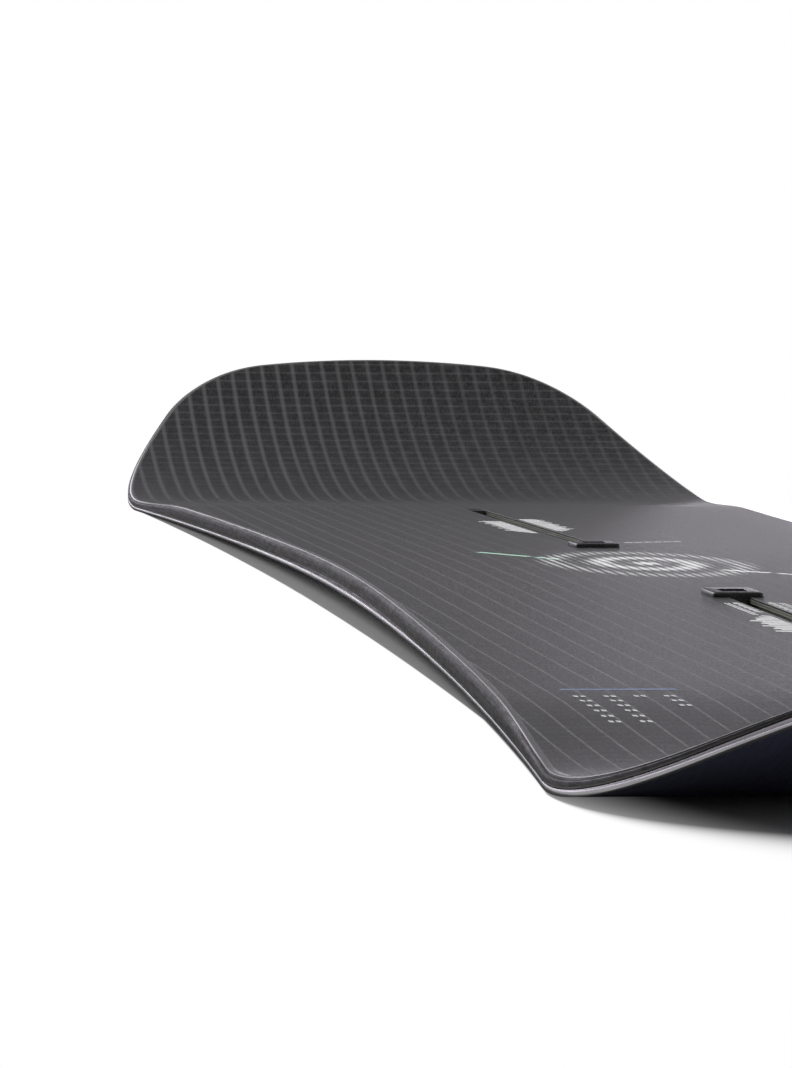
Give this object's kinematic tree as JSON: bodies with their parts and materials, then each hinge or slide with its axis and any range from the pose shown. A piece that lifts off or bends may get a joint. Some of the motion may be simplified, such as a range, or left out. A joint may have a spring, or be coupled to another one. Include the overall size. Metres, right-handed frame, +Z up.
{
  "type": "snowboard",
  "caption": "Directional snowboard: cambered sandwich deck with steel edges, upturned nose and tail, and two centre-line insert channels with slide nuts and plugs.",
  "frame": {"origin": "middle of the overall length and width, on the surface that the two contact lines rest on", "axes": "+X along the board to the nose, +Y to the left rail, +Z up out of the topsheet"},
  "size_m": [1.562, 0.3022, 0.0742],
  "materials": {
    "base": "sintered polyethylene, fine ground structure",
    "steel_edge": "ground and polished spring steel",
    "damper_rubber": "thin vulcanised strip",
    "fibreglass": "resin-filled glass cloth",
    "core_poplar": "planed poplar",
    "core_hardwood": "planed beech",
    "tip_plastic": "moulded spacer",
    "sidewall_plastic": "milled, faint tool marks",
    "topsheet": "satin with a fine woven grain and thin pale lines",
    "channel_plastic": "glass-filled, fine lengthwise ribs",
    "plug_plastic": "moulded black",
    "nut_steel": "zinc-plated"
  },
  "bodies": {
    "board": {"base": "base", "steel_edge_left": "steel_edge", "steel_edge_right": "steel_edge", "edge_damper_left": "damper_rubber", "edge_damper_right": "damper_rubber", "lower_laminate": "fibreglass", "core_centre_nose": "core_poplar", "core_centre_waist": "core_poplar", "core_centre_tail": "core_poplar", "core_inner_strip_left": "core_poplar", "core_inner_strip_right": "core_poplar", "core_outer_strip_left": "core_poplar", "core_outer_strip_right": "core_poplar", "core_stringer_left": "core_hardwood", "core_stringer_right": "core_hardwood", "nose_spacer": "tip_plastic", "tail_spacer": "tip_plastic", "sidewall_left": "sidewall_plastic", "sidewall_right": "sidewall_plastic", "upper_laminate": "fibreglass", "topsheet": "topsheet", "insert_channel_front": "channel_plastic", "insert_channel_rear": "channel_plastic", "end_stop_front": "plug_plastic", "end_stop_rear": "plug_plastic"},
    "plug_front": {"channel_plug_front": "plug_plastic"},
    "nut_front_inner": {"slide_nut_front_inner": "nut_steel"},
    "nut_front_outer": {"slide_nut_front_outer": "nut_steel"},
    "plug_rear": {"channel_plug_rear": "plug_plastic"},
    "nut_rear_inner": {"slide_nut_rear_inner": "nut_steel"},
    "nut_rear_outer": {"slide_nut_rear_outer": "nut_steel"}
  },
  "joints": [
    {"name": "plug_front_lift", "type": "slide", "parent": "board", "child": "plug_front", "axis": [0.0079, 0, 1], "range_m": [0, 0.014]},
    {"name": "nut_front_inner_slide", "type": "slide", "parent": "board", "child": "nut_front_inner", "axis": [1, 0, -0.0079], "range_m": [-0.09, 0.01]},
    {"name": "nut_front_outer_slide", "type": "slide", "parent": "board", "child": "nut_front_outer", "axis": [1, 0, -0.0079], "range_m": [-0.01, 0.1]},
    {"name": "plug_rear_lift", "type": "slide", "parent": "board", "child": "plug_rear", "axis": [-0.0079, 0, 1], "range_m": [0, 0.014]},
    {"name": "nut_rear_inner_slide", "type": "slide", "parent": "board", "child": "nut_rear_inner", "axis": [-1, 0, -0.0079], "range_m": [-0.09, 0.01]},
    {"name": "nut_rear_outer_slide", "type": "slide", "parent": "board", "child": "nut_rear_outer", "axis": [-1, 0, -0.0079], "range_m": [-0.01, 0.1]}
  ]
}
